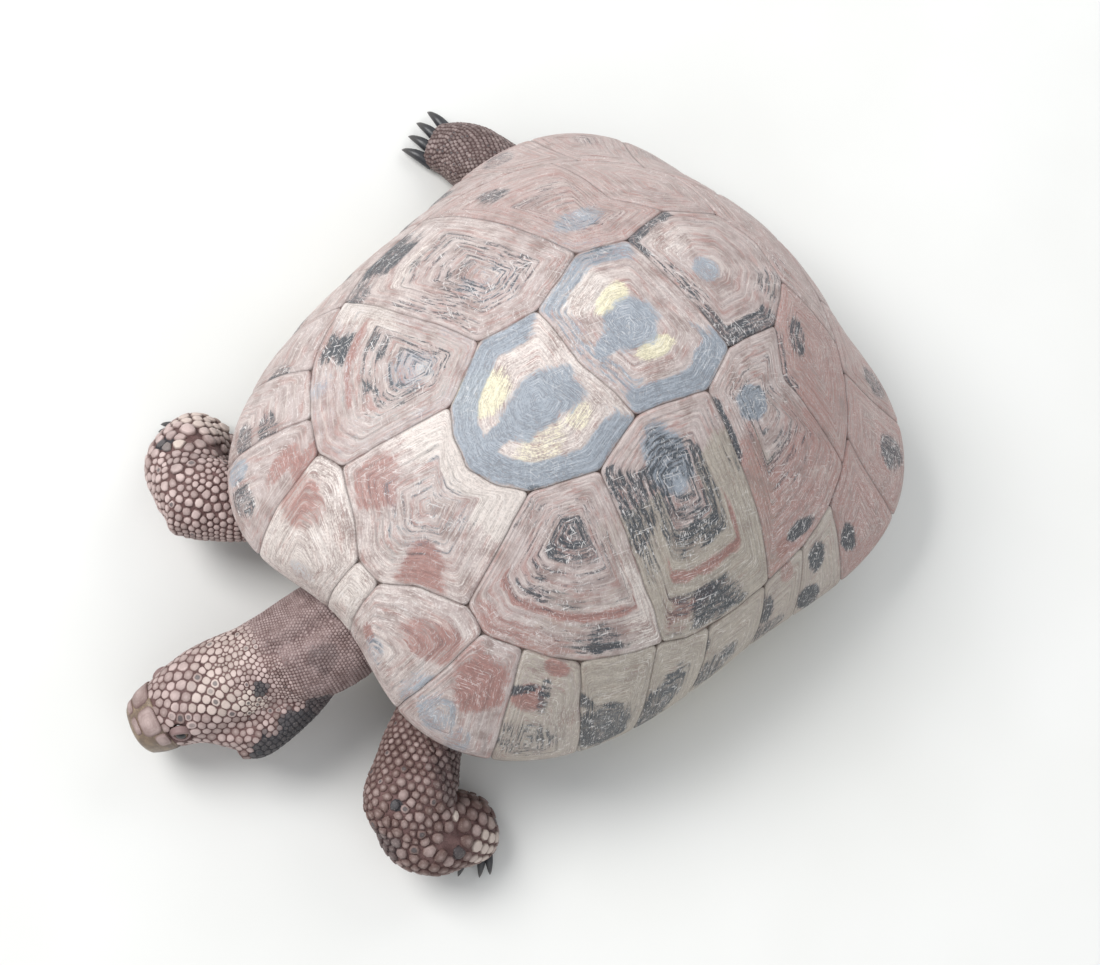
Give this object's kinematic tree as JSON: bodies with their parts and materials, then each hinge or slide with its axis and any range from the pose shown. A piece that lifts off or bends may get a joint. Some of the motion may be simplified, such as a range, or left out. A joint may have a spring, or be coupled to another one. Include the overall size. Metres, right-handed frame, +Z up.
{
  "type": "tortoise",
  "caption": "A land tortoise standing with its neck stretched and its head lowered to graze, its domed shell in growth-ringed plates, one hind foot set out to the side.",
  "frame": {"origin": "the middle of the animal's footprint on the floor", "axes": "+Z up, the head points to -Y, the animal's left side is +X"},
  "size_m": [0.2328, 0.2754, 0.1175],
  "materials": {
    "shell_plate": "worn horn, satin",
    "lower_shell": "yellow horn with dark blotches, satin",
    "skin": "dry scaled skin, matt",
    "horn": "dark horn, satin",
    "eye": "wet, polished"
  },
  "bodies": {
    "root": {"vertebral_1": "shell_plate", "vertebral_2": "shell_plate", "vertebral_3": "shell_plate", "vertebral_4": "shell_plate", "vertebral_5": "shell_plate", "costal_left_1": "shell_plate", "costal_right_1": "shell_plate", "costal_left_2": "shell_plate", "costal_right_2": "shell_plate", "costal_left_3": "shell_plate", "costal_right_3": "shell_plate", "costal_left_4": "shell_plate", "costal_right_4": "shell_plate", "nuchal": "shell_plate", "marginal_left_1": "shell_plate", "marginal_right_1": "shell_plate", "marginal_left_2": "shell_plate", "marginal_right_2": "shell_plate", "marginal_left_3": "shell_plate", "marginal_right_3": "shell_plate", "marginal_left_4": "shell_plate", "marginal_right_4": "shell_plate", "marginal_left_5": "shell_plate", "marginal_right_5": "shell_plate", "marginal_left_6": "shell_plate", "marginal_right_6": "shell_plate", "marginal_left_7": "shell_plate", "marginal_right_7": "shell_plate", "marginal_left_8": "shell_plate", "marginal_right_8": "shell_plate", "marginal_left_9": "shell_plate", "marginal_right_9": "shell_plate", "marginal_left_10": "shell_plate", "marginal_right_10": "shell_plate", "marginal_left_11": "shell_plate", "marginal_right_11": "shell_plate", "supracaudal_left": "shell_plate", "supracaudal_right": "shell_plate", "plastron": "lower_shell", "trunk": "skin", "foreleg_left_upper": "skin", "foreleg_left_foot": "skin", "foreleg_right_upper": "skin", "foreleg_right_foot": "skin", "hind_leg_left_upper": "skin", "hind_leg_left_foot": "skin", "hind_leg_right_upper": "skin", "hind_leg_right_foot": "skin", "neck": "skin", "head": "skin", "beak_upper": "horn", "beak_lower": "horn", "eye_left": "eye", "eye_right": "eye", "tail": "skin", "tail_spur": "horn"}
  },
  "joints": []
}
